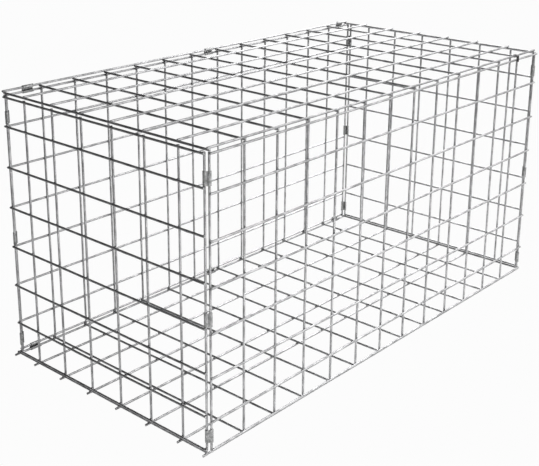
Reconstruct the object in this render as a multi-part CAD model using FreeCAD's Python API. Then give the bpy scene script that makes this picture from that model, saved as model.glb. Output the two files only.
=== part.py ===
import FreeCAD, Part
import math
import os

# A cage of six flat welded-wire panels. Folded sheet clips hold the panels edge to edge. Each clip
# grips one wire and is loose on the other, so every joined edge is a hinge.
# Millimetres, +Z up. X runs along the cage, -Y is the front. The origin is the middle of the
# footprint, at the height of the lowest clip.

Vector = FreeCAD.Vector

# Overall sizes, between the planes of the walls' upright wires.
cage_length = 1000.0
cage_depth = 500.0
wall_height = 494.0          # bottom wire to top wire

# Wire mesh.
wire_diameter = 4.0
weld_sink = 0.4              # how far two crossing wires are pressed into each other
mesh_pitch = 76.2
shortest_end_cell = 50.0     # the cells at a panel's rim are cut, but hold at least this much
upright_stub = 0.2           # how far uprights stick out past the edge wires, and level wires
                             # past the edge uprights, measured from surface to end
level_stub = 0.6
lid_stub = 3.0
floor_stub = 6.5
hinge_stub = 0.3             # stubs beside the lid's and the floor's hinge wires

# Panels that differ from the walls they meet.
front_mesh_drop = 6.0        # the front's mesh was cut off centre, so its inner level wires are lower
end_mesh_rise = 3.0          # the end panels' mesh was cut the other way
lid_length = 982.5           # edge wire to edge wire
lid_offset = -4.25           # the lid's middle lies this far along X, while its inner wires stay in line
floor_length = 1004.0
lid_front_inset = 0.0        # from the front uprights' plane back to the lid's front edge wire
floor_front_inset = 4.0
panel_gap = 0.4              # free height between the walls and the lid, and the walls and the floor

# Folded sheet clips.
clip_length = 25.0
clip_sheet = 1.0
clip_grip = 0.05             # all round the wire that the clip is crimped on
clip_running = 0.3           # all round the wire that turns in the clip
clip_curl = 30.0             # degrees that each edge turns in past the half circle
corner_wire_spacing = 7.2    # between the two upright wires in a corner clip
dimple_radius = 2.2
dimple_depth = 0.5

# Free wire between a clip and the wire beside it, for the first, the middle and the last clip in a
# row: from the level wire below a corner clip, and from the upright to the right of a hinge clip.
corner_clip_gaps = (10.0, 0.5, 0.5)
lid_clip_gaps = (12.0, 8.0, 14.0)
floor_clip_gaps = (30.0, 6.0, 10.0)
clip_side_clearance = 0.5    # the least that such a gap may be

# Open spring clip that hooks the lid to the front panel.
hook_gap = 4.0               # from the lid's last cross wire but one to the hook
hook_width = 8.0
hook_sheet = 1.2
hook_reach_clearance = 0.8   # between the hook's lip and the front panel's top wire
hook_lip_drop = 2.0          # how far the lip reaches below the middle of that wire
hook_lip_flare = 1.6
hook_turn = 205.0            # degrees that the hook wraps round the lid's front edge wire
hook_slope = 20.0            # degrees that its strap falls towards the lip

# Worked out from the sizes above.
wire_radius = wire_diameter / 2
layer = wire_diameter - weld_sink
corner_inset = corner_wire_spacing / math.sqrt(2)
clip_outer_radius = wire_radius + clip_running + clip_sheet

floor_long_z = clip_outer_radius
floor_cross_z = floor_long_z + layer
wall_bottom_z = floor_cross_z + wire_radius + panel_gap
bottom_wire_z = wall_bottom_z + upright_stub + wire_radius
top_wire_z = bottom_wire_z + wall_height
wall_top_z = top_wire_z + wire_radius + upright_stub
lid_cross_z = wall_top_z + panel_gap + wire_radius
lid_long_z = lid_cross_z + layer

half_length = cage_length / 2
half_depth = cage_depth / 2
long_wall_edge_x = half_length - corner_inset      # edge wires of the front and back panels
end_wall_edge_y = half_depth - corner_inset        # edge wires of the end panels
hinge_wire_y = half_depth + layer                  # the back panel's level wires
lid_front_y = -half_depth + lid_front_inset
floor_front_y = -half_depth + floor_front_inset


def mesh_places(low, high, slide=0.0):
    """Places of parallel wires from low to high: whole cells in the middle, a cut cell at each rim."""
    span = high - low
    cells = int((span - 2 * shortest_end_cell) // mesh_pitch)
    first = (low + high - cells * mesh_pitch) / 2 + slide
    inner = [first + mesh_pitch * i for i in range(cells + 1)]
    return [low] + inner + [high]


long_wall_upright_x = mesh_places(-long_wall_edge_x, long_wall_edge_x)
front_level_z = mesh_places(bottom_wire_z, top_wire_z, -front_mesh_drop)
back_level_z = mesh_places(bottom_wire_z, top_wire_z)
end_level_z = mesh_places(bottom_wire_z, top_wire_z, end_mesh_rise)
end_upright_y = mesh_places(-end_wall_edge_y, end_wall_edge_y)
lid_cross_x = mesh_places(lid_offset - lid_length / 2, lid_offset + lid_length / 2, -lid_offset)
floor_cross_x = mesh_places(-floor_length / 2, floor_length / 2)


def wire(start, end):
    """One straight round wire with square-cut ends."""
    run = end - start
    return Part.makeCylinder(wire_radius, run.Length, start, run)


def save(node, solids):
    shape = solids[0] if len(solids) == 1 else Part.makeCompound(solids)
    if not all(solid.isValid() for solid in solids):
        raise ValueError(node + " has a bad solid")
    shape.exportStep("parts/" + node + ".step")


def long_wall(y, level_y, level_z):
    """Uprights and level wires of the front or the back panel, which stands in the XZ plane."""
    reach = long_wall_edge_x + wire_radius + level_stub
    ends = [(Vector(x, y, wall_bottom_z), Vector(x, y, wall_top_z)) for x in long_wall_upright_x]
    uprights = [wire(bottom, top) for bottom, top in ends]
    levels = [wire(Vector(-reach, level_y, z), Vector(reach, level_y, z)) for z in level_z]
    return uprights, levels


def end_wall(x, level_x):
    """Uprights and level wires of an end panel, which stands in the YZ plane."""
    reach = end_wall_edge_y + wire_radius + level_stub
    uprights = [wire(Vector(x, y, wall_bottom_z), Vector(x, y, wall_top_z)) for y in end_upright_y]
    levels = [wire(Vector(level_x, -reach, z), Vector(level_x, reach, z)) for z in end_level_z]
    return uprights, levels


def flat_panel(cross_x, front_y, long_z, cross_z, stub):
    """Long and cross wires of the lid or the floor, whose back edge wire is its hinge wire."""
    past = wire_radius + stub
    low_x, high_x = cross_x[0] - past, cross_x[-1] + past
    back = hinge_wire_y + wire_radius + hinge_stub
    front = front_y - wire_radius - hinge_stub
    long_y = mesh_places(front_y, hinge_wire_y)
    longs = [wire(Vector(low_x, y, long_z), Vector(high_x, y, long_z)) for y in long_y]
    crosses = [wire(Vector(x, front, cross_z), Vector(x, back, cross_z)) for x in cross_x]
    return longs, crosses


def clip_outline(spacing):
    """Closed outline of a clip: a web with each edge curled round a wire.

    The gripped wire is at (0, 0) and the running wire at (spacing, 0), and the web lies towards +y.
    """
    radii = (wire_radius + clip_grip, wire_radius + clip_running)
    centres = (Vector(0, 0, 0), Vector(spacing, 0, 0))
    lean = (radii[0] - radii[1]) / spacing
    web = Vector(lean, math.sqrt(1 - lean * lean), 0)
    stop = math.radians(270 + clip_curl)
    ends = (
        Vector(math.cos(stop), math.sin(stop), 0),
        Vector(-math.cos(stop), math.sin(stop), 0),
    )
    sides = (Vector(-1, 0, 0), Vector(1, 0, 0))

    def curl(lobe, radius, backwards):
        points = [centres[lobe] + way * radius for way in (web, sides[lobe], ends[lobe])]
        if backwards:
            points.reverse()
        return Part.Arc(*points).toShape()

    outer = [radius + clip_sheet for radius in radii]
    edges = [
        curl(0, outer[0], True),
        Part.makeLine(centres[0] + web * outer[0], centres[1] + web * outer[1]),
        curl(1, outer[1], False),
        Part.makeLine(centres[1] + ends[1] * outer[1], centres[1] + ends[1] * radii[1]),
        curl(1, radii[1], True),
        Part.makeLine(centres[1] + web * radii[1], centres[0] + web * radii[0]),
        curl(0, radii[0], False),
        Part.makeLine(centres[0] + ends[0] * radii[0], centres[0] + ends[0] * outer[0]),
    ]
    return Part.Wire(edges), web, outer


def clip(gripped, running, web_way, along):
    """A folded clip: gripped and running are the middles of its wires, along is their direction."""
    across = running - gripped
    spacing = across.Length
    outline, web, outer = clip_outline(spacing)
    body = Part.Face(outline).extrude(Vector(0, 0, clip_length))
    body.translate(Vector(0, 0, -clip_length / 2))
    web_middle = Vector(spacing / 2, 0, 0) + web * ((outer[0] + outer[1]) / 2)
    ball = Part.makeSphere(dimple_radius, web_middle + web * (dimple_radius - dimple_depth))
    body = body.cut(ball)
    across.normalize()
    turn = FreeCAD.Matrix(
        across.x, web_way.x, along.x, gripped.x,
        across.y, web_way.y, along.y, gripped.y,
        across.z, web_way.z, along.z, gripped.z,
        0, 0, 0, 1,
    )
    return body.transformGeometry(turn).Solids[0]


def corner_clip(side_x, side_y, height):
    """A clip on an upright corner, gripping the end panel's edge wire. The sides are -1 or 1."""
    gripped = Vector(side_x * half_length, side_y * end_wall_edge_y, height)
    running = Vector(side_x * long_wall_edge_x, side_y * half_depth, height)
    web_way = Vector(side_x, side_y, 0)
    web_way.normalize()
    across = running - gripped
    return clip(gripped, running, web_way, across.cross(web_way).normalize())


def hinge_clip(place, gripped_z, running_z):
    """A clip on the back panel's top or bottom wire, in which the lid or the floor turns."""
    gripped = Vector(place, hinge_wire_y, gripped_z)
    running = Vector(place, hinge_wire_y, running_z)
    web_way = Vector(0, 1, 0)
    across = running - gripped
    return clip(gripped, running, web_way, across.cross(web_way).normalize())


def hook_clip():
    """An open strip hook: it wraps the lid's front edge wire and its lip hangs before the front wire."""
    middle = Vector(0, lid_front_y, lid_long_z)
    slope = math.radians(hook_slope)
    inner_radius = wire_radius + clip_grip
    outer_radius = inner_radius + hook_sheet
    lip_back_y = -half_depth - layer - wire_radius - hook_reach_clearance
    lip_front_y = lip_back_y - hook_sheet
    lip_z = top_wire_z - hook_lip_drop
    leave = math.pi / 2 + slope
    tail = leave - math.radians(hook_turn)

    def on_wire(radius, angle):
        return middle + Vector(0, math.cos(angle), math.sin(angle)) * radius

    def strap_end(radius, y):
        """Where the strap, which leaves the curl in a straight line, reaches y."""
        foot = on_wire(radius, leave)
        return Vector(0, y, foot.z - (foot.y - y) * math.tan(slope))

    def curl(radius, first, last):
        return Part.Arc(*[on_wire(radius, angle) for angle in (first, (first + last) / 2, last)]).toShape()

    flare = Vector(0, -hook_lip_flare, -hook_lip_flare)
    lip_front = Vector(0, lip_front_y, lip_z)
    lip_back = Vector(0, lip_back_y, lip_z)
    corners = [
        on_wire(outer_radius, leave),
        strap_end(outer_radius, lip_front_y),
        lip_front,
        lip_front + flare,
        lip_back + flare,
        lip_back,
        strap_end(inner_radius, lip_back_y),
        on_wire(inner_radius, leave),
    ]
    edges = [curl(outer_radius, tail, leave)]
    edges += [Part.makeLine(one, other) for one, other in zip(corners, corners[1:])]
    edges.append(curl(inner_radius, leave, tail))
    edges.append(Part.makeLine(on_wire(inner_radius, tail), on_wire(outer_radius, tail)))
    strip = Part.Face(Part.Wire(edges)).extrude(Vector(hook_width, 0, 0))
    strip.translate(Vector(lid_cross_x[-2] - wire_radius - hook_gap - hook_width, 0, 0))
    return strip


def save_panels():
    front = long_wall(-half_depth, -half_depth - layer, front_level_z)
    back = long_wall(half_depth, hinge_wire_y, back_level_z)
    for name, (uprights, levels) in (("front", front), ("back", back)):
        save(name + "_panel_upright_wires", uprights)
        save(name + "_panel_level_wires", levels)
    for name, side in (("left", -1), ("right", 1)):
        uprights, levels = end_wall(side * half_length, side * (half_length + layer))
        save(name + "_end_upright_wires", uprights)
        save(name + "_end_level_wires", levels)
    lid = flat_panel(lid_cross_x, lid_front_y, lid_long_z, lid_cross_z, lid_stub)
    floor = flat_panel(floor_cross_x, floor_front_y, floor_long_z, floor_cross_z, floor_stub)
    for name, (longs, crosses) in (("lid", lid), ("floor", floor)):
        save(name + "_long_wires", longs)
        save(name + "_cross_wires", crosses)


def clip_places(wires, picked, gaps, way, crossing):
    """Middles of the clips that stand beside the picked wires, on the side that way (-1 or 1) says.

    Where a wire is in the way, the clip goes to the nearest place that is clear of every wire.
    """
    beside = wire_radius + clip_length / 2
    clear = beside + clip_side_clearance
    barriers = sorted(wires + crossing)
    rooms = [
        (low + clear, high - clear)
        for low, high in zip(barriers, barriers[1:])
        if high - low >= 2 * clear
    ]

    def nearest(wanted):
        choices = [min(max(wanted, low), high) for low, high in rooms]
        return min(choices, key=lambda place: abs(place - wanted))

    return [nearest(wires[index] + way * (beside + gap)) for index, gap in zip(picked, gaps)]


def save_clips():
    picked = (0, len(end_level_z) // 2 - 1, -2)
    walls = (("front", -1, front_level_z), ("back", 1, back_level_z))
    for wall, side_y, wall_level_z in walls:
        heights = clip_places(end_level_z, picked, corner_clip_gaps, 1, wall_level_z)
        for side, side_x in (("left", -1), ("right", 1)):
            for level, height in zip(("lower", "middle", "upper"), heights):
                save(f"{wall}_{side}_{level}_clip", [corner_clip(side_x, side_y, height)])
    picked = (1, len(long_wall_upright_x) // 2, -1)
    rows = (
        ("lid", lid_cross_x, lid_clip_gaps, top_wire_z, lid_long_z),
        ("floor", floor_cross_x, floor_clip_gaps, bottom_wire_z, floor_long_z),
    )
    for panel, cross_x, gaps, gripped_z, running_z in rows:
        places = clip_places(long_wall_upright_x, picked, gaps, -1, cross_x)
        for side, place in zip(("left", "middle", "right"), places):
            save(f"{panel}_hinge_{side}_clip", [hinge_clip(place, gripped_z, running_z)])
    save("lid_hook_clip", [hook_clip()])


os.makedirs("parts", exist_ok=True)
save_panels()
save_clips()
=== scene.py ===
"""Looks of a folding welded-wire cage: galvanised wire, weld fillets, folded clips and a lid hook.

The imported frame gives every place. Each piece is a section carried along a path, worked out as whole
arrays. Lengths are metres, and MM turns a value in millimetres into them.
"""

import math
from functools import cache

import bpy
import numpy as np
from bpy.props import FloatProperty, FloatVectorProperty, IntProperty, PointerProperty
from mathutils import Matrix, Vector


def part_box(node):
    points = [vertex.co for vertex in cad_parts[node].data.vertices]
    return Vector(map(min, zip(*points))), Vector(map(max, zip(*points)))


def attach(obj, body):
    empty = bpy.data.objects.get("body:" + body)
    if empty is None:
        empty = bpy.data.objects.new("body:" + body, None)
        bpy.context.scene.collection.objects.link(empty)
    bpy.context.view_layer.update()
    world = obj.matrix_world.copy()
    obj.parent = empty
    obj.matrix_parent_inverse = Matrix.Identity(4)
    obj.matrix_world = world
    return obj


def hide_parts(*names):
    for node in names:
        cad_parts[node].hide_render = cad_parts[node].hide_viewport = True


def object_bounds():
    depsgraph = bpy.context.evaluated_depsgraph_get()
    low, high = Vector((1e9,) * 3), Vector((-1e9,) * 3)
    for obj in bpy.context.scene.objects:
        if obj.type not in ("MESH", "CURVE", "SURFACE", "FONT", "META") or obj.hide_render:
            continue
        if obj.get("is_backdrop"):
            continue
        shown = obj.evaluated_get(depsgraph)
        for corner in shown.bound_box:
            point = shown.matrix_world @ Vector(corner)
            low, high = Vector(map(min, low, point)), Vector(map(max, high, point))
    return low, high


bl_info = {
    "name": "Folding wire cage",
    "version": (1, 0, 0),
    "blender": (4, 5, 0),
    "location": "3D View > Sidebar > Cage",
    "description": "Builds the wires, welds, clips and hook of a folding welded-wire cage",
    "category": "Object",
}

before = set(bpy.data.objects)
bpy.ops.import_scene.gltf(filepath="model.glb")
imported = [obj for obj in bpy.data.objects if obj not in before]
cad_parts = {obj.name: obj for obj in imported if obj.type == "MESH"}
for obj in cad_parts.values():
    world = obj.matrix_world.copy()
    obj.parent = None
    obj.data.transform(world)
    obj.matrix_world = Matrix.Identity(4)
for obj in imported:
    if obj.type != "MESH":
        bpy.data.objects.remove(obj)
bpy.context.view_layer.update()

MM = 0.001
X, Y, Z = 0, 1, 2
AXES = np.eye(3)

# Zinc: the widths of a run along the wire, how far runs stray round it from the side that drained, and
# how high they stand on the edge wires, which have to turn in the clips, as a share of the others.
RUN_WIDTH = (3.5 * MM, 11 * MM)
RUN_SCATTER = 0.35
EDGE_RUN_SHARE = 0.1
WIRE_GAP = 5 * MM            # wider than a wire, narrower than the mesh: it parts one wire from the next

# Welds and drips are repeated hundreds of times, so they have few faces.
WELD_SIDES = 12
WELD_LATITUDES = (-82, -45, 0, 45, 82)
WELD_SIZES = (0.88, 1.04)
DRIP_SIDES = 8
DRIP_RINGS = 6
DRIP_RADIUS = 1.25 * MM

# Clips: rings round each wire and in the web between, parts along the strip, the radius of its edges,
# the reach of the crimped groove and of the punch mark, where along its section (0 to 1) and how sharply
# its corner points, how near a lip its ends are rounded, and how much each end is, as shares of the trim.
TURN_RINGS = 19
WEB_RINGS = 9
CLIP_PARTS = 14
CLIP_EDGE = 0.22 * MM
GROOVE_REACH = 1.3 * MM
MARK_REACH = 1.5 * MM
POINT_AT = (0.36, 0.64)
POINT_REACH = 0.09
LIP_REACH = 0.07
POINTED_END_ROUNDING = 0.7
PLAIN_END_TRIM = 0.35
PLAIN_END_ROUNDING = 0.8

# Hook: the radius of its edges, parts along each, the bend at its shoulder, how far its lip flares, the
# bend above the flare, and over what length and by what share its ends narrow.
HOOK_EDGE = 0.35 * MM
HOOK_PARTS = 6
SHOULDER_BEND = 1.0 * MM
LIP_FLARE = 1.6 * MM
LIP_BEND = 0.6 * MM
END_TAPER = 1.8 * MM
END_NARROWING = 0.45

# Stage: the sensor's width in millimetres, and the reach of the view and of the floor in metres.
SENSOR_WIDTH = 36
VIEW_REACH = 200
FLOOR_REACH = 45

# A broad far softlight gives every wire along X the same highlight, and two softboxes light the table
# in front of the cage and to its right, where the uprights and the far wires mirror it. A weak softbox
# at the right back lightens the wires along Y at that end. Nothing else stands behind the cage, so they
# stay dark at its left end. Places and sizes are in metres, powers in watts, and the softboxes' beam and
# the softlight's spread in degrees.
BEAM = 80
SIDE_LIGHT = {"towards": (0.72, -0.58, 0.26), "spread": 70, "strength": 2.8}
SOFTBOXES = {
    "front_softbox": {"place": (-0.9, -1.9, 1.6), "aim": (-0.3, -1.2, 0), "size": (1.4, 1.0), "power": 26},
    "right_softbox": {"place": (1.7, 0.5, 1.6), "aim": (0.9, 0.3, 0), "size": (1.2, 1.2), "power": 20},
    "fill_softbox": {"place": (2.3, 1.5, 0.9), "aim": (0.7, 0.1, 0.2), "size": (1.0, 0.8), "power": 5},
}

# Each panel is two layers of parallel wires: the layer's name, the axis that its wires run along, and
# the axis that they are spaced along. The panels carry the names of the bodies that they ride on.
WALL_LAYERS = (("upright", Z, X), ("level", X, Z))
END_LAYERS = (("upright", Z, Y), ("level", Y, Z))
FLAT_LAYERS = (("cross", Y, X), ("long", X, Y))
PANELS = {
    "front_panel": WALL_LAYERS,
    "back_panel": WALL_LAYERS,
    "left_end": END_LAYERS,
    "right_end": END_LAYERS,
    "lid": FLAT_LAYERS,
    "floor": FLAT_LAYERS,
}


def linear(hex_colour):
    """An sRGB hex colour as the linear red, green and blue that the shaders take."""
    parts = np.array([int(hex_colour[i:i + 2], 16) for i in (1, 3, 5)]) / 255
    return tuple(np.where(parts <= 0.04045, parts / 12.92, ((parts + 0.055) / 1.055) ** 2.4))


# ---------------------------------------------------------------- settings

class CageWireSettings(bpy.types.PropertyGroup):
    sway: FloatProperty(
        name="Sway", description="How far an inner wire bows to either side between the panel's edges",
        default=0.6 * MM, min=0, unit="LENGTH", precision=5,
    )
    ring_spacing: FloatProperty(
        name="Ring spacing", description="Distance between the rings of corners along a wire",
        default=4 * MM, min=0.5 * MM, unit="LENGTH", precision=4,
    )
    sides: IntProperty(name="Sides", description="Corners round a wire", default=12, min=6)
    end_round: FloatProperty(
        name="End rounding", description="Radius that the dip leaves on a sheared end",
        default=0.7 * MM, min=0, unit="LENGTH", precision=5,
    )
    shear_lean: FloatProperty(
        name="Shear lean", description="How far a sheared end leans from square",
        default=math.radians(9), subtype="ANGLE",
    )
    lump_height: FloatProperty(
        name="Zinc lump height", description="The most that a run of zinc stands off a wire",
        default=0.4 * MM, min=0, unit="LENGTH", precision=5,
    )
    lumps_per_metre: FloatProperty(
        name="Zinc lumps per metre", description="How many runs of zinc a wire has", default=22, min=0,
    )
    colour: FloatVectorProperty(
        name="Zinc", description="Colour of the satin zinc", subtype="COLOR",
        default=linear("#A1A1A2"), min=0, max=1,
    )
    dull_colour: FloatVectorProperty(
        name="Dull zinc", description="Colour of the zinc where it has weathered", subtype="COLOR",
        default=linear("#787879"), min=0, max=1,
    )


class CageWeldSettings(bpy.types.PropertyGroup):
    reach: FloatProperty(
        name="Reach", description="From the middle of a weld to its fillet along either wire",
        default=2.2 * MM, min=0, unit="LENGTH", precision=5,
    )
    corner_reach: FloatProperty(
        name="Corner reach", description="How much further the zinc fills the four inner corners",
        default=1.1 * MM, min=0, unit="LENGTH", precision=5,
    )
    height: FloatProperty(
        name="Height", description="Half the height of a fillet between its two wires",
        default=1.5 * MM, min=0, unit="LENGTH", precision=5,
    )
    drip_share: FloatProperty(
        name="Share with a drip", description="Share of the inner crossings that hold a hardened drip",
        default=0.16, min=0, max=1, subtype="FACTOR",
    )
    drip_length: FloatProperty(
        name="Drip length", description="Length of the longest drip",
        default=4.2 * MM, min=0, unit="LENGTH", precision=5,
    )


class CageClipSettings(bpy.types.PropertyGroup):
    sheet: FloatProperty(
        name="Sheet", description="Thickness of the clip's strip",
        default=1.0 * MM, min=0, unit="LENGTH", precision=5,
    )
    grip: FloatProperty(
        name="Grip", description="Gap all round the wire that the clip is crimped on",
        default=0.05 * MM, min=0, unit="LENGTH", precision=5,
    )
    running: FloatProperty(
        name="Running gap", description="Gap all round the wire that turns in the clip",
        default=0.3 * MM, min=0, unit="LENGTH", precision=5,
    )
    curl: FloatProperty(
        name="Curl", description="How far each edge turns in past the half circle",
        default=math.radians(30), subtype="ANGLE",
    )
    pinch: FloatProperty(
        name="Pinch", description="Depth of the crimped groove between the two wires",
        default=0.55 * MM, min=0, unit="LENGTH", precision=5,
    )
    dimple: FloatProperty(
        name="Dimple", description="Depth of the punch mark in the web",
        default=0.45 * MM, min=0, unit="LENGTH", precision=5,
    )
    trim: FloatProperty(
        name="Trim", description="How much shorter the strip is beside its pointed corner",
        default=1.5 * MM, min=0, unit="LENGTH", precision=5,
    )
    colour: FloatVectorProperty(
        name="Strip", description="Colour of the galvanised strip", subtype="COLOR",
        default=linear("#9A9A9A"), min=0, max=1,
    )
    dull_colour: FloatVectorProperty(
        name="Dull strip", description="Colour of its duller spangles", subtype="COLOR",
        default=linear("#727373"), min=0, max=1,
    )


class CageHookSettings(bpy.types.PropertyGroup):
    sheet: FloatProperty(
        name="Sheet", description="Thickness of the hook's strip",
        default=1.2 * MM, min=0, unit="LENGTH", precision=5,
    )
    turn: FloatProperty(
        name="Turn", description="How far the strip wraps round the lid's wire",
        default=math.radians(205), subtype="ANGLE",
    )
    slope: FloatProperty(
        name="Slope", description="How steeply the strap falls towards the lip",
        default=math.radians(20), subtype="ANGLE",
    )
    colour: FloatVectorProperty(
        name="Blackening", description="Colour of the blackened spring steel", subtype="COLOR",
        default=linear("#2A2A2C"), min=0, max=1,
    )


class CageStageSettings(bpy.types.PropertyGroup):
    floor_colour: FloatVectorProperty(
        name="Floor", description="Colour of the plain pale floor", subtype="COLOR",
        default=linear("#FCFCFC"), min=0, max=1,
    )
    floor_glow: FloatProperty(
        name="Floor glow", description="Light that the backlit floor gives by itself", default=1.0, min=0,
    )
    room_colour: FloatVectorProperty(
        name="Room", description="Colour of the light that comes from all round", subtype="COLOR",
        default=linear("#FCFCFC"), min=0, max=1,
    )
    room_strength: FloatProperty(
        name="Room strength", description="Strength of the light from all round", default=0.16, min=0,
    )
    backdrop_strength: FloatProperty(
        name="Backdrop strength", description="Brightness of the pale backdrop behind the floor",
        default=1.0, min=0,
    )
    camera_place: FloatVectorProperty(
        name="Camera", description="Place of the camera", subtype="XYZ", unit="LENGTH",
        default=(-1.5315, -1.2752, 0.9533),
    )
    azimuth: FloatProperty(
        name="Azimuth", description="Turn of the view about the vertical; 0 looks along +Y",
        default=math.radians(-48.77), subtype="ANGLE",
    )
    elevation: FloatProperty(
        name="Elevation", description="Angle that the camera looks down by",
        default=math.radians(17.03), subtype="ANGLE",
    )
    roll: FloatProperty(
        name="Roll", description="Turn of the camera about its own line of sight",
        default=math.radians(0.56), subtype="ANGLE",
    )
    lens: FloatProperty(
        name="Lens", description="Focal length in millimetres on a 36 mm wide sensor",
        default=69.8, min=1,
    )
    shift: FloatProperty(
        name="Shift", description="Upward shift of the view, as a share of its width", default=-0.15,
    )


# ---------------------------------------------------------------- meshes

def tube_mesh(name, corners):
    """A mesh of closed tubes from corners[tube, ring, side]: quads between rings and a cap at each end.

    Corner (tube, ring, side) has the number (tube x rings + ring) x sides + side. The sides go
    anticlockwise as seen looking back along the tube, so every face points outwards.
    """
    tubes, rings, sides = corners.shape[:3]
    number = np.arange(tubes * rings * sides).reshape(tubes, rings, sides)
    after = np.roll(number, -1, axis=2)
    walls = np.stack([number[:, :-1], after[:, :-1], after[:, 1:], number[:, 1:]], axis=-1).reshape(-1, 4)
    caps = np.concatenate([number[:, 0, ::-1], number[:, -1, :]])
    sizes = np.concatenate([np.full(len(walls), 4), np.full(len(caps), sides)])
    mesh = bpy.data.meshes.new(name)
    mesh.vertices.add(number.size)
    mesh.vertices.foreach_set("co", corners.astype(np.float32).ravel())
    mesh.loops.add(int(sizes.sum()))
    mesh.loops.foreach_set("vertex_index", np.concatenate([walls.ravel(), caps.ravel()]).astype(np.int32))
    mesh.polygons.add(len(sizes))
    mesh.polygons.foreach_set("loop_start", (np.cumsum(sizes) - sizes).astype(np.int32))
    mesh.polygons.foreach_set("use_smooth", sizes == 4)
    mesh.update(calc_edges=True)
    return mesh


def add_piece(name, corners, material, slot, body, *replaced):
    """Puts tubes into the scene as one piece that rides on a body and stands for CAD nodes."""
    mesh = tube_mesh(name, corners)
    mesh.materials.append(material)
    piece = bpy.data.objects.new(name, mesh)
    bpy.context.scene.collection.objects.link(piece)
    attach(piece, body)
    if replaced:
        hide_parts(*replaced)
    return piece


class WireLayer:
    """One layer of parallel wires, read from its CAD node.

    run, apart and through are the axes that its wires run along, are spaced along, and that cross the
    panel. places are where the wires stand along apart, and depth where the layer is along through.
    """

    def __init__(self, panel, kind, run, apart):
        self.node = f"{panel}_{kind}_wires"
        self.run, self.apart, self.through = run, apart, 3 - run - apart
        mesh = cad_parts[self.node].data
        corners = np.empty(len(mesh.vertices) * 3)
        mesh.vertices.foreach_get("co", corners)
        corners = corners.reshape(-1, 3)
        across = np.sort(corners[:, apart])
        groups = np.split(across, np.flatnonzero(np.diff(across) > WIRE_GAP) + 1)
        self.places = np.array([(group[0] + group[-1]) / 2 for group in groups])
        self.low, self.high = corners[:, run].min(), corners[:, run].max()
        near, far = corners[:, self.through].min(), corners[:, self.through].max()
        self.depth = (near + far) / 2
        self.radius = (far - near) / 2
        self.random = np.random.default_rng(sum(self.node.encode()))
        count = len(self.places)
        self.wave_phase = self.random.uniform(0, 2 * np.pi, count)
        self.wave_rate = self.random.uniform(0.5, 1.3, count)
        self.wave_size = self.random.uniform(-1, 1, count)
        self.wave_size[[0, -1]] = 0

    def sway(self, wires, along):
        """Sideways bow of wires at places along them: a slow sine that fades out at both ends.

        The edge wires stay straight, because they turn in the clips.
        """
        share = (along - self.low) / (self.high - self.low)
        wave = np.sin(2 * np.pi * self.wave_rate[wires] * share + self.wave_phase[wires])
        size = bpy.context.scene.cage_wires.sway * self.wave_size[wires]
        return size * wave * np.sin(np.pi * share)


@cache
def read_layers():
    """The wire layers of every panel, by panel and kind, read from the frame once."""
    return {
        panel: {kind: WireLayer(panel, kind, run, apart) for kind, run, apart in layers}
        for panel, layers in PANELS.items()
    }


def round_ends(length, radius, spacing):
    """Rings of a wire with rounded ends: their distances from its start and their radii.

    Near an end, at a distance d below the rounding e, the radius is r - e + sqrt(e^2 - (e - d)^2).
    """
    settings = bpy.context.scene.cage_wires
    rounding = settings.end_round
    arc = rounding * (1 - np.cos(np.linspace(0, np.pi / 2, 4)))
    middle = np.linspace(rounding, length - rounding, max(2, int(length / spacing)))
    distance = np.concatenate([arc[:-1], middle, length - arc[:-1][::-1]])
    inset = np.clip(rounding - np.minimum(distance, length - distance), 0, rounding)
    return distance, radius - rounding + np.sqrt(rounding ** 2 - inset ** 2)


def wire_corners(layer):
    """Corners of a layer's wires: rings of radius r + lumps, centred on the swaying middle line.

    A lump is a run of zinc: its height falls off along the wire as exp(-(s/w)^2) and round the wire
    as the square of half of 1 + cosine. Edge wires have next to none, because they turn in the clips.
    A sheared end leans: its rings shift along the wire by (1 + cosine) times the lean, which dies out
    within a radius or two.
    """
    settings = bpy.context.scene.cage_wires
    length = layer.high - layer.low
    distance, radii = round_ends(length, layer.radius, settings.ring_spacing)
    count = len(layer.places)
    wires = np.arange(count)[:, None]
    along = layer.low + distance[None, :]
    angle = np.linspace(0, 2 * np.pi, settings.sides, endpoint=False)
    lumps = max(1, round(settings.lumps_per_metre * length))
    random = layer.random
    lump_at = random.uniform(0, length, (count, 1, 1, lumps))
    lump_width = random.uniform(*RUN_WIDTH, lump_at.shape)
    lump_height = settings.lump_height * random.uniform(0, 1, lump_at.shape) ** 3
    lump_height[[0, -1]] *= EDGE_RUN_SHARE
    lump_angle = random.normal(np.pi, RUN_SCATTER, lump_at.shape)
    near = np.exp(-(((distance[None, :, None, None] - lump_at) / lump_width) ** 2))
    facing = (0.5 + 0.5 * np.cos(angle[None, None, :, None] - lump_angle)) ** 2
    thick = (lump_height * near * facing).sum(-1)
    radius = radii[None, :, None] + thick * (radii / layer.radius)[None, :, None]
    lean = math.tan(settings.shear_lean) * random.uniform(-1, 1, (count, 1, 1))
    end = np.exp(-np.minimum(distance, length - distance) / layer.radius)[None, :, None]
    inward = np.sign(length / 2 - distance)[None, :, None]
    skew = inward * np.abs(lean) * end * layer.radius * (1 + np.sign(lean) * np.cos(angle)[None, None, :])
    corners = np.empty((count, len(distance), settings.sides, 3))
    corners[..., layer.run] = along[:, :, None] + skew
    middle = layer.places[:, None] + layer.sway(wires, along)
    turn = 1 if (layer.apart - layer.run) % 3 == 1 else -1
    corners[..., layer.apart] = middle[:, :, None] + radius * np.cos(angle)
    corners[..., layer.through] = layer.depth + turn * radius * np.sin(angle)
    return corners


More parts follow.
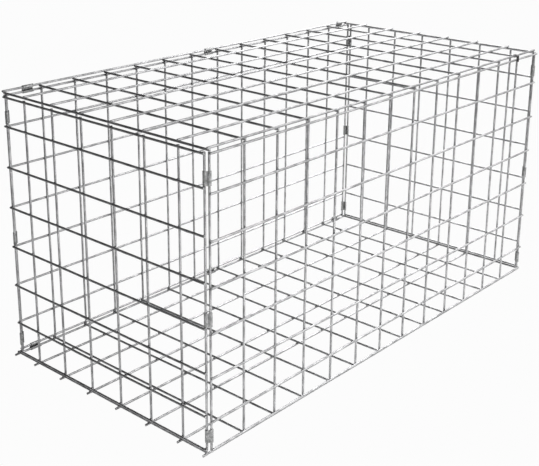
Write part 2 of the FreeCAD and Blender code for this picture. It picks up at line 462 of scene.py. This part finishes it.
def crossings(panel):
    """Middles of a panel's welds, between its two layers, with the sway of both wires."""
    one, other = panel.values()
    first = np.repeat(np.arange(len(one.places)), len(other.places))
    second = np.tile(np.arange(len(other.places)), len(one.places))
    places = np.empty((len(first), 3))
    places[:, one.apart] = one.places[first] + one.sway(first, other.places[second])
    places[:, other.apart] = other.places[second] + other.sway(second, one.places[first])
    places[:, one.through] = (one.depth + other.depth) / 2
    inner = (first > 0) & (first < len(one.places) - 1) & (second > 0) & (second < len(other.places) - 1)
    return places, inner


def spun(middles, sideways, forward, radius, height):
    """Small closed bodies on middles: rings in the planes of two axes, stacked along a third.

    sideways gives the two axes of the rings and forward the third, which point right-handed. radius
    and height are arrays [body, ring, side] and [body, ring].
    """
    angle = np.linspace(0, 2 * np.pi, radius.shape[2], endpoint=False)
    ring = np.cos(angle)[:, None] * AXES[sideways[0]] + np.sin(angle)[:, None] * AXES[sideways[1]]
    return (
        middles[:, None, None, :]
        + radius[..., None] * ring[None, None]
        + height[:, :, None, None] * AXES[forward]
    )


def weld_corners(panel):
    """Fillets of a panel's welds: a flattened ball whose rim reaches out in four corners.

    The rim's radius is reach + corner_reach x sin(2 angle)^2, and ring by ring it shrinks as the
    cosine of the height's angle, so the zinc fills the corners between the crossing wires.
    """
    settings = bpy.context.scene.cage_welds
    one = next(iter(panel.values()))
    middles, _ = crossings(panel)
    random = np.random.default_rng(len(middles) + one.through)
    size = random.uniform(*WELD_SIZES, (len(middles), 1, 1))
    angle = np.linspace(0, 2 * np.pi, WELD_SIDES, endpoint=False)
    latitude = np.radians(WELD_LATITUDES)[None, :, None]
    rim = settings.reach + settings.corner_reach * np.sin(2 * angle) ** 2
    radius = size * rim * np.cos(latitude)
    height = settings.height * size[:, :, 0] * np.sin(latitude[..., 0])
    first = (one.through + 1) % 3
    second = (one.through + 2) % 3
    return spun(middles, (first, second), one.through, radius, height)


def drip_corners(panel):
    """Hardened drips of zinc at some inner crossings, hanging along the first layer's wires.

    A drip's radius is a low sine hump that swells towards its tip, times the root of 1 - x^2, which
    closes it there.
    """
    settings = bpy.context.scene.cage_welds
    one, other = panel.values()
    middles, inner = crossings(panel)
    random = np.random.default_rng(7 + len(middles) + one.through)
    picked = inner & (random.uniform(0, 1, len(middles)) < settings.drip_share)
    middles = middles[picked]
    count = len(middles)
    down = one.run
    share = np.linspace(0, 1, DRIP_RINGS)
    length = settings.drip_length * random.uniform(0.35, 1, (count, 1))
    height = -(other.radius * 0.8 + length * share)
    swell = 0.62 + 0.25 * np.sin(np.pi * share ** 1.6)
    closing = np.sqrt(np.clip(1 - np.clip(share - 0.6, 0, 1) ** 2 / 0.165, 0.02, 1))
    radius = DRIP_RADIUS * random.uniform(0.7, 1, (count, 1, 1)) * (swell * closing)[None, :, None]
    radius = np.repeat(radius, DRIP_SIDES, axis=2)
    corners = spun(middles, ((down + 1) % 3, (down + 2) % 3), down, radius, height)
    return corners[:, ::-1]


def strip_section(width, sheet, edge, steps):
    """Outline of a flat strip with rounded edges, as offsets through and across it, anticlockwise.

    A corner is a quarter circle of radius edge. The two long sides have steps parts each.
    """
    quarter = np.linspace(0, np.pi / 2, 3)
    half_sheet, half_width = sheet / 2 - edge, width / 2 - edge
    flat = np.linspace(-half_width, half_width, steps + 1)[1:-1]
    through, across = [], []
    for turn, (side_t, side_a) in enumerate(((1, 1), (-1, 1), (-1, -1), (1, -1))):
        through.append(side_t * half_sheet + edge * np.cos(quarter + turn * np.pi / 2))
        across.append(side_a * half_width + edge * np.sin(quarter + turn * np.pi / 2))
        if turn % 2:
            outer = turn == 3
            through.append(np.full(len(flat), sheet / 2 if outer else -sheet / 2))
            across.append(flat if outer else flat[::-1])
    return np.concatenate(through), np.concatenate(across)


def clip_path(spacing, radii, curl):
    """Middle line of a clip's section: round one wire, straight across, and round the other.

    Returns its points, its outward directions, and how far each point is from the first wire's circle
    (0) to the second's (1). The first wire is at (0, 0) and the second at (spacing, 0). The straight
    part touches both circles, so it leans as their radii differ.
    """
    lean = math.asin((radii[0] - radii[1]) / spacing)
    top = np.pi / 2 - lean
    first = np.linspace(1.5 * np.pi + curl, top, TURN_RINGS)
    second = np.linspace(top, -np.pi / 2 - curl, TURN_RINGS)
    angle = np.concatenate([first, np.full(WEB_RINGS, top), second])
    outward = np.stack([np.cos(angle), np.sin(angle)], axis=1)
    web = np.linspace(0, 1, WEB_RINGS + 2)[1:-1]
    share = np.concatenate([np.zeros(TURN_RINGS), web, np.ones(TURN_RINGS)])[:, None]
    radius = radii[0] + (radii[1] - radii[0]) * share
    points = outward * radius
    points[:, :1] += spacing * share
    return points, outward, share[:, 0]


def clip_corners(gripped, running, along, web, middle, length, seed):
    """A folded clip: a wide strip carried round two wires, pinched between them, with a punch mark.

    gripped and running are points on the wires' middle lines, along their direction, web the way that
    the closed side faces. The pinch and the mark push the web in by falls of exp(-(distance/w)^2). The
    strip is trimmed at both ends, less where its corner points, and its lips are rounded off.
    """
    settings = bpy.context.scene.cage_clips
    random = np.random.default_rng(seed)
    across = running - gripped
    spacing = np.linalg.norm(across)
    across = across / spacing
    base = gripped + along * (middle - gripped @ along)
    wire_radius = read_layers()["lid"]["long"].radius
    half = settings.sheet / 2
    radii = (wire_radius + settings.grip + half, wire_radius + settings.running + half)
    points, outward, share = clip_path(spacing, radii, settings.curl)
    through, wide = strip_section(length, settings.sheet, CLIP_EDGE, CLIP_PARTS)
    from_middle = (share - 0.5) * spacing
    round_a_wire = (share == 0) | (share == 1)
    groove = settings.pinch * random.uniform(0.8, 1.2) * np.exp(-((from_middle / GROOVE_REACH) ** 2))
    groove[round_a_wire] = 0
    off_middle = np.hypot(from_middle[:, None], wide[None, :])
    mark = settings.dimple * np.exp(-((off_middle / MARK_REACH) ** 2))
    mark[round_a_wire] = 0
    turned = np.linspace(0, 1, len(share))
    lips = np.minimum(turned, 1 - turned)
    rounded = np.clip(1 - lips / LIP_REACH, 0, 1) ** 2
    point_at = random.choice(POINT_AT)
    pointed = np.exp(-(((turned - point_at) / POINT_REACH) ** 2))
    cut_low = settings.trim * (1 - pointed + POINTED_END_ROUNDING * rounded)
    cut_high = settings.trim * (PLAIN_END_TRIM + PLAIN_END_ROUNDING * rounded)
    reach = wide[None, :] / (length / 2)
    cut = np.where(reach < 0, reach * cut_low[:, None], reach * cut_high[:, None]) * np.abs(reach) ** 2
    lift = through[None, :] - groove[:, None] - mark
    flat = points[:, None, :] + outward[:, None, :] * lift[..., None]
    corners = (
        base
        + flat[..., :1] * across
        + flat[..., 1:] * web
        + (wide[None, :] - cut)[..., None] * along
    )
    return corners[None]


# ---------------------------------------------------------------- materials

def add_node(tree, kind, inputs=(), **settings):
    """Adds a shader node, sets its own settings, and fills or links its inputs by name or number."""
    node = tree.nodes.new(kind)
    for name, value in settings.items():
        setattr(node, name, value)
    for key, value in dict(inputs).items():
        if isinstance(value, bpy.types.NodeSocket):
            tree.links.new(value, node.inputs[key])
        else:
            node.inputs[key].default_value = value
    return node


def new_material(name):
    material = bpy.data.materials.new(name)
    material.use_nodes = True
    material.node_tree.nodes.clear()
    return material, material.node_tree


def per_metre(size_mm):
    """Noise scale at which one patch is that many millimetres across."""
    return 1 / (size_mm * MM)


def zinc_material(name, colour, dull_colour, patch_mm, grain_mm, roughness, bump_mm):
    """Zinc over steel: broad dull and bright patches, a fine frosty grain and low ripples.

    The patches give the eye the cloudy grey of a dipped surface, the grain breaks up its highlights,
    and the ripples are where the zinc set unevenly. The grey specular tint is the oxide, which keeps the
    wires' rims from flaring against a pale table.
    """
    material, tree = new_material(name)
    place = add_node(tree, "ShaderNodeTexCoord").outputs["Object"]
    patches = add_node(
        tree, "ShaderNodeTexNoise",
        {"Vector": place, "Scale": per_metre(patch_mm), "Detail": 3.0, "Roughness": 0.6},
    )
    grain = add_node(
        tree, "ShaderNodeTexVoronoi",
        {"Vector": place, "Scale": per_metre(grain_mm), "Randomness": 1.0},
        feature="F1",
    )
    ripples = add_node(
        tree, "ShaderNodeTexNoise",
        {"Vector": place, "Scale": per_metre(grain_mm * 2.2), "Detail": 4.0, "Roughness": 0.65},
    )
    share = add_node(
        tree, "ShaderNodeMapRange",
        {"Value": patches.outputs["Fac"], "From Min": 0.36, "From Max": 0.64},
        clamp=True,
    )
    frost = add_node(
        tree, "ShaderNodeMapRange",
        {"Value": grain.outputs["Color"], "From Min": 0.0, "From Max": 1.0, "To Min": -0.16, "To Max": 0.16},
    )
    mixed = add_node(
        tree, "ShaderNodeMath", {0: share.outputs["Result"], 1: frost.outputs["Result"]}, operation="ADD",
        use_clamp=True,
    )
    shade = add_node(
        tree, "ShaderNodeMix",
        {"Factor": mixed.outputs[0], "A": (*dull_colour, 1), "B": (*colour, 1)},
        data_type="RGBA",
    )
    gloss = add_node(
        tree, "ShaderNodeMapRange",
        {
            "Value": ripples.outputs["Fac"],
            "From Min": 0.3, "From Max": 0.7,
            "To Min": roughness - 0.09, "To Max": roughness + 0.12,
        },
        clamp=True,
    )
    bump = add_node(
        tree, "ShaderNodeBump",
        {"Height": ripples.outputs["Fac"], "Distance": bump_mm * MM, "Strength": 0.8},
    )
    shader = add_node(
        tree, "ShaderNodeBsdfPrincipled",
        {
            "Base Color": shade.outputs["Result"],
            "Metallic": 1.0,
            "Specular Tint": (0.5, 0.5, 0.5, 1),
            "Roughness": gloss.outputs["Result"],
            "Normal": bump.outputs["Normal"],
        },
    )
    add_node(tree, "ShaderNodeOutputMaterial", {"Surface": shader.outputs["BSDF"]})
    return material


def blackened_material(name, colour):
    """Blackened spring steel: satin black with faint browner clouds and rubbed, shinier streaks."""
    material, tree = new_material(name)
    place = add_node(tree, "ShaderNodeTexCoord").outputs["Object"]
    clouds = add_node(
        tree, "ShaderNodeTexNoise",
        {"Vector": place, "Scale": per_metre(2.5), "Detail": 4.0, "Roughness": 0.6},
    )
    shade = add_node(
        tree, "ShaderNodeMix",
        {
            "Factor": clouds.outputs["Fac"],
            "A": (*colour, 1),
            "B": (colour[0] * 2.2, colour[1] * 2.0, colour[2] * 1.8, 1),
        },
        data_type="RGBA",
    )
    gloss = add_node(
        tree, "ShaderNodeMapRange",
        {"Value": clouds.outputs["Fac"], "From Min": 0.3, "From Max": 0.7, "To Min": 0.3, "To Max": 0.52},
        clamp=True,
    )
    bump = add_node(
        tree, "ShaderNodeBump",
        {"Height": clouds.outputs["Fac"], "Distance": 0.05 * MM, "Strength": 0.6},
    )
    shader = add_node(
        tree, "ShaderNodeBsdfPrincipled",
        {
            "Base Color": shade.outputs["Result"],
            "Metallic": 1.0,
            "Roughness": gloss.outputs["Result"],
            "Normal": bump.outputs["Normal"],
        },
    )
    add_node(tree, "ShaderNodeOutputMaterial", {"Surface": shader.outputs["BSDF"]})
    return material


def table_material(name, colour, glow):
    """A backlit white acrylic table: an even pale glow to the camera, and a matt sheet to the wires.

    The glow hides the pools of light on the sheet, which the wires mirror.
    """
    material, tree = new_material(name)
    place = add_node(tree, "ShaderNodeTexCoord").outputs["Object"]
    clouds = add_node(tree, "ShaderNodeTexNoise", {"Vector": place, "Scale": per_metre(600)})
    shade = add_node(
        tree, "ShaderNodeMix",
        {
            "Factor": clouds.outputs["Fac"],
            "A": (*colour, 1),
            "B": (colour[0] * 0.985, colour[1] * 0.985, colour[2] * 0.985, 1),
        },
        data_type="RGBA",
    )
    shader = add_node(
        tree, "ShaderNodeBsdfPrincipled",
        {
            "Base Color": shade.outputs["Result"],
            "Roughness": 0.9,
            "Specular IOR Level": 0.0,
        },
    )
    backlight = add_node(tree, "ShaderNodeEmission", {"Color": (*colour, 1), "Strength": glow})
    seen = add_node(tree, "ShaderNodeLightPath").outputs["Is Camera Ray"]
    sheet = add_node(
        tree, "ShaderNodeMixShader", {0: seen, 1: shader.outputs["BSDF"], 2: backlight.outputs[0]},
    )
    add_node(tree, "ShaderNodeOutputMaterial", {"Surface": sheet.outputs[0]})
    return material


def shared_material(name, maker, *colours, **finish):
    """The material of that name, made the first time that a piece asks for it."""
    return bpy.data.materials.get(name) or maker(name, *colours, **finish)


def wire_finish():
    """Hot-dip galvanised drawn wire, a satin grey with cloudy patches of 18 mm and grain of 1.2 mm."""
    settings = bpy.context.scene.cage_wires
    return shared_material(
        "Hot-dip galvanised wire", zinc_material,
        tuple(settings.colour), tuple(settings.dull_colour),
        patch_mm=18, grain_mm=1.2, roughness=0.34, bump_mm=0.12,
    )


def weld_finish():
    """Zinc that filled the corners of a weld: as the wire, but rougher, with smaller clouds."""
    settings = bpy.context.scene.cage_wires
    return shared_material(
        "Zinc in the welds", zinc_material,
        tuple(settings.colour), tuple(settings.dull_colour),
        patch_mm=9, grain_mm=0.8, roughness=0.42, bump_mm=0.18,
    )


def clip_finish():
    """Galvanised strip that was sheared and crimped: duller and rougher than the wire, mottled."""
    settings = bpy.context.scene.cage_clips
    return shared_material(
        "Crimped galvanised strip", zinc_material,
        tuple(settings.colour), tuple(settings.dull_colour),
        patch_mm=5, grain_mm=1.6, roughness=0.46, bump_mm=0.10,
    )


# ---------------------------------------------------------------- operators

class CAGE_OT_panel_wires(bpy.types.Operator):
    """Makes the wires of all six panels, with zinc runs and rounded sheared ends."""

    bl_idname = "cage.panel_wires"
    bl_label = "Panel wires"

    def execute(self, context):
        for panel, layers in read_layers().items():
            for kind, layer in layers.items():
                name = f"galvanised_{layer.node}"
                add_piece(name, wire_corners(layer), wire_finish(), "galvanised_wire", panel, layer.node)
        return {"FINISHED"}


class CAGE_OT_welds(bpy.types.Operator):
    """Makes the fillets and drips of zinc at the crossings of all six panels."""

    bl_idname = "cage.welds"
    bl_label = "Welds and drips"

    def execute(self, context):
        for panel, layers in read_layers().items():
            add_piece(f"{panel}_weld_fillets", weld_corners(layers), weld_finish(), "galvanised_wire", panel)
            add_piece(f"{panel}_zinc_drips", drip_corners(layers), weld_finish(), "galvanised_wire", panel)
        return {"FINISHED"}


class CAGE_OT_corner_clips(bpy.types.Operator):
    """Makes the twelve folded clips on the upright corners."""

    bl_idname = "cage.corner_clips"
    bl_label = "Corner clips"

    def execute(self, context):
        layers = read_layers()
        for side, end in (("left", 0), ("right", -1)):
            for wall, edge in (("front", 0), ("back", -1)):
                gripped_wires = layers[f"{side}_end"]["upright"]
                running_wires = layers[f"{wall}_panel"]["upright"]
                gripped = np.array([gripped_wires.depth, gripped_wires.places[edge], 0])
                running = np.array([running_wires.places[end], running_wires.depth, 0])
                across = running - gripped
                web = np.cross(AXES[Z], across) / np.linalg.norm(across)
                outward = 1 if web @ gripped > 0 else -1
                for level in ("lower", "middle", "upper"):
                    node = f"{wall}_{side}_{level}_clip"
                    low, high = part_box(node)
                    corners = clip_corners(
                        gripped, running, AXES[Z] * outward, web * outward,
                        outward * (low.z + high.z) / 2, high.z - low.z, sum(node.encode()),
                    )
                    add_piece(f"folded_{node}", corners, clip_finish(), "galvanised_clip_sheet",
                              f"{side}_end", node)
        return {"FINISHED"}


class CAGE_OT_hinge_clips(bpy.types.Operator):
    """Makes the six folded clips that the lid and the floor turn in."""

    bl_idname = "cage.hinge_clips"
    bl_label = "Hinge clips"

    def execute(self, context):
        layers = read_layers()
        back = layers["back_panel"]["level"]
        for panel, edge in (("lid", -1), ("floor", 0)):
            turning = layers[panel]["long"]
            gripped = np.array([0, back.depth, back.places[edge]])
            running = np.array([0, turning.places[-1], turning.depth])
            outward = 1 if running[Z] < gripped[Z] else -1
            for side in ("left", "middle", "right"):
                node = f"{panel}_hinge_{side}_clip"
                low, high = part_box(node)
                corners = clip_corners(
                    gripped, running, AXES[X] * outward, AXES[Y],
                    outward * (low.x + high.x) / 2, high.x - low.x, sum(node.encode()),
                )
                add_piece(f"folded_{node}", corners, clip_finish(), "galvanised_clip_sheet",
                          "back_panel", node)
        return {"FINISHED"}


class CAGE_OT_lid_hook(bpy.types.Operator):
    """Makes the open hook that holds the lid's front edge to the front panel."""

    bl_idname = "cage.lid_hook"
    bl_label = "Lid hook"

    def execute(self, context):
        settings = context.scene.cage_hook
        layers = read_layers()
        lid = layers["lid"]["long"]
        low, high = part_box("lid_hook_clip")
        width = high.x - low.x
        wire = np.array([lid.places[0], lid.depth])
        half = settings.sheet / 2
        radius = lid.radius + context.scene.cage_clips.grip + half
        leave = math.pi / 2 + settings.slope
        curl = np.linspace(leave - settings.turn, leave, 26)
        points = wire + radius * np.stack([np.cos(curl), np.sin(curl)], axis=1)
        foot = points[-1]
        front = low.y + half
        flare = front + LIP_FLARE
        fall = math.tan(settings.slope)
        shoulder = np.array([flare, foot[1] - (foot[0] - flare) * fall])
        strap_end = shoulder + SHOULDER_BEND * np.array([1, fall])
        strap = np.linspace(foot, strap_end, 6)[1:]
        lip = np.array([flare, low.z + LIP_FLARE])
        corner = rounded_corner(strap_end, shoulder, shoulder - np.array([0, SHOULDER_BEND]), 6)[1:]
        drop = np.linspace(corner[-1], lip + np.array([0, LIP_BEND]), 4)[1:]
        out = rounded_corner(drop[-1], lip, lip + LIP_BEND * np.array([-0.7, -0.7]), 4)[1:]
        tip = np.linspace(out[-1], np.array([front, low.z + half]), 3)[1:]
        line = np.concatenate([points, strap, corner, drop, out, tip])
        corners = strip_corners(line, (low.x + high.x) / 2, width, settings.sheet)
        material = shared_material("Blackened spring steel", blackened_material, tuple(settings.colour))
        add_piece("bent_lid_hook", corners, material, "blackened_spring_steel", "lid_hook",
                  "lid_hook_clip")
        return {"FINISHED"}


def rounded_corner(start, corner, end, steps):
    """Points of a bend from start to end: the quadratic curve whose tangents meet at the corner."""
    share = np.linspace(0, 1, steps)[:, None]
    return start * (1 - share) ** 2 + 2 * corner * share * (1 - share) + end * share ** 2


def strip_corners(line, middle_x, width, sheet):
    """A strip carried along a line in the YZ plane, with rounded edges and ends that narrow.

    Each ring is the strip's section set square to the line. Near an end the width is 1 - n (1 - d/t)^2
    of the full one, at a distance d below the taper t.
    """
    step = np.gradient(line, axis=0)
    step /= np.linalg.norm(step, axis=1)[:, None]
    normal = np.stack([-step[:, 1], step[:, 0]], axis=1)
    through, across = strip_section(width, sheet, HOOK_EDGE, HOOK_PARTS)
    gone = np.concatenate([[0], np.cumsum(np.linalg.norm(np.diff(line, axis=0), axis=1))])
    from_end = np.minimum(gone, gone[-1] - gone)
    narrow = 1 - END_NARROWING * np.clip(1 - from_end / END_TAPER, 0, 1) ** 2
    flat = line[:, None, :] + normal[:, None, :] * through[None, :, None]
    corners = np.empty((*flat.shape[:2], 3))
    corners[..., X] = middle_x + across[None, :] * narrow[:, None]
    corners[..., Y] = flat[..., 0]
    corners[..., Z] = flat[..., 1]
    return corners[None]


def add_lamp(light, place, back):
    """Puts a light into the scene, shining opposite to back, and unseen by the camera."""
    lamp = bpy.data.objects.new(light.name, light)
    lamp.location = place
    lamp.rotation_euler = back.to_track_quat("Z", "Y").to_euler()
    lamp.visible_camera = False
    bpy.context.scene.collection.objects.link(lamp)


class CAGE_OT_stage(bpy.types.Operator):
    """Sets up the pale floor, the soft studio light and the camera."""

    bl_idname = "cage.stage"
    bl_label = "Stage"

    def execute(self, context):
        settings = context.scene.cage_stage
        scene = context.scene
        mesh = bpy.data.meshes.new("studio_floor")
        corners = ((-1, -1), (1, -1), (1, 1), (-1, 1))
        mesh.from_pydata([(FLOOR_REACH * x, FLOOR_REACH * y, 0) for x, y in corners], [], [(0, 1, 2, 3)])
        mesh.materials.append(
            shared_material(
                "Backlit white acrylic", table_material,
                tuple(settings.floor_colour), glow=settings.floor_glow,
            )
        )
        floor = bpy.data.objects.new("studio_floor", mesh)
        scene.collection.objects.link(floor)
        floor.location.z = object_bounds()[0].z
        floor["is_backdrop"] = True

        world = bpy.data.worlds.new("Soft studio room")
        world.use_nodes = True
        world.node_tree.nodes.clear()
        room, backdrop = (
            add_node(
                world.node_tree, "ShaderNodeBackground",
                {"Color": (*settings.room_colour, 1), "Strength": strength},
            ).outputs["Background"]
            for strength in (settings.room_strength, settings.backdrop_strength)
        )
        # The backdrop is as pale as the floor, while the room that lights the wires stays dim.
        seen = add_node(world.node_tree, "ShaderNodeLightPath").outputs["Is Camera Ray"]
        both = add_node(world.node_tree, "ShaderNodeMixShader", {0: seen, 1: room, 2: backdrop})
        add_node(world.node_tree, "ShaderNodeOutputWorld", {"Surface": both.outputs[0]})
        scene.world = world

        light = bpy.data.lights.new("side_softlight", "SUN")
        light.angle = math.radians(SIDE_LIGHT["spread"])
        light.energy = SIDE_LIGHT["strength"]
        add_lamp(light, (0, 0, 3), Vector(SIDE_LIGHT["towards"]))
        for name, box in SOFTBOXES.items():
            light = bpy.data.lights.new(name, "AREA")
            light.shape = "RECTANGLE"
            light.size, light.size_y = box["size"]
            light.energy = box["power"]
            light.spread = math.radians(BEAM)
            add_lamp(light, box["place"], Vector(box["place"]) - Vector(box["aim"]))

        camera_data = bpy.data.cameras.new("camera")
        camera_data.sensor_width = SENSOR_WIDTH
        camera_data.lens = settings.lens
        camera_data.shift_y = settings.shift
        camera_data.clip_end = VIEW_REACH
        camera = bpy.data.objects.new("camera", camera_data)
        azimuth, elevation = settings.azimuth, settings.elevation
        back = Vector((
            math.sin(azimuth) * math.cos(elevation),
            -math.cos(azimuth) * math.cos(elevation),
            math.sin(elevation),
        ))
        aim = (-back).to_track_quat("-Z", "Y").to_matrix() @ Matrix.Rotation(settings.roll, 3, "Z")
        camera.matrix_world = Matrix.LocRotScale(Vector(settings.camera_place), aim.to_quaternion(), None)
        scene.collection.objects.link(camera)
        scene.camera = camera
        scene.view_settings.view_transform = "Standard"
        return {"FINISHED"}


class CAGE_PT_panel(bpy.types.Panel):
    """Lists the steps that build the cage."""

    bl_label = "Folding wire cage"
    bl_idname = "CAGE_PT_panel"
    bl_space_type = "VIEW_3D"
    bl_region_type = "UI"
    bl_category = "Cage"

    def draw(self, context):
        for step in STEPS:
            self.layout.operator(step.bl_idname)


SETTINGS = {
    "cage_wires": CageWireSettings,
    "cage_welds": CageWeldSettings,
    "cage_clips": CageClipSettings,
    "cage_hook": CageHookSettings,
    "cage_stage": CageStageSettings,
}
STEPS = (
    CAGE_OT_panel_wires,
    CAGE_OT_welds,
    CAGE_OT_corner_clips,
    CAGE_OT_hinge_clips,
    CAGE_OT_lid_hook,
    CAGE_OT_stage,
)


def register():
    for kind in (*SETTINGS.values(), *STEPS, CAGE_PT_panel):
        bpy.utils.register_class(kind)
    for name, kind in SETTINGS.items():
        setattr(bpy.types.Scene, name, PointerProperty(type=kind))


def unregister():
    for name in SETTINGS:
        delattr(bpy.types.Scene, name)
    for kind in reversed((*SETTINGS.values(), *STEPS, CAGE_PT_panel)):
        bpy.utils.unregister_class(kind)


def main():
    register()
    bpy.ops.cage.panel_wires()
    bpy.ops.cage.welds()
    bpy.ops.cage.corner_clips()
    bpy.ops.cage.hinge_clips()
    bpy.ops.cage.lid_hook()
    bpy.ops.cage.stage()


if __name__ == "__main__":
    main()
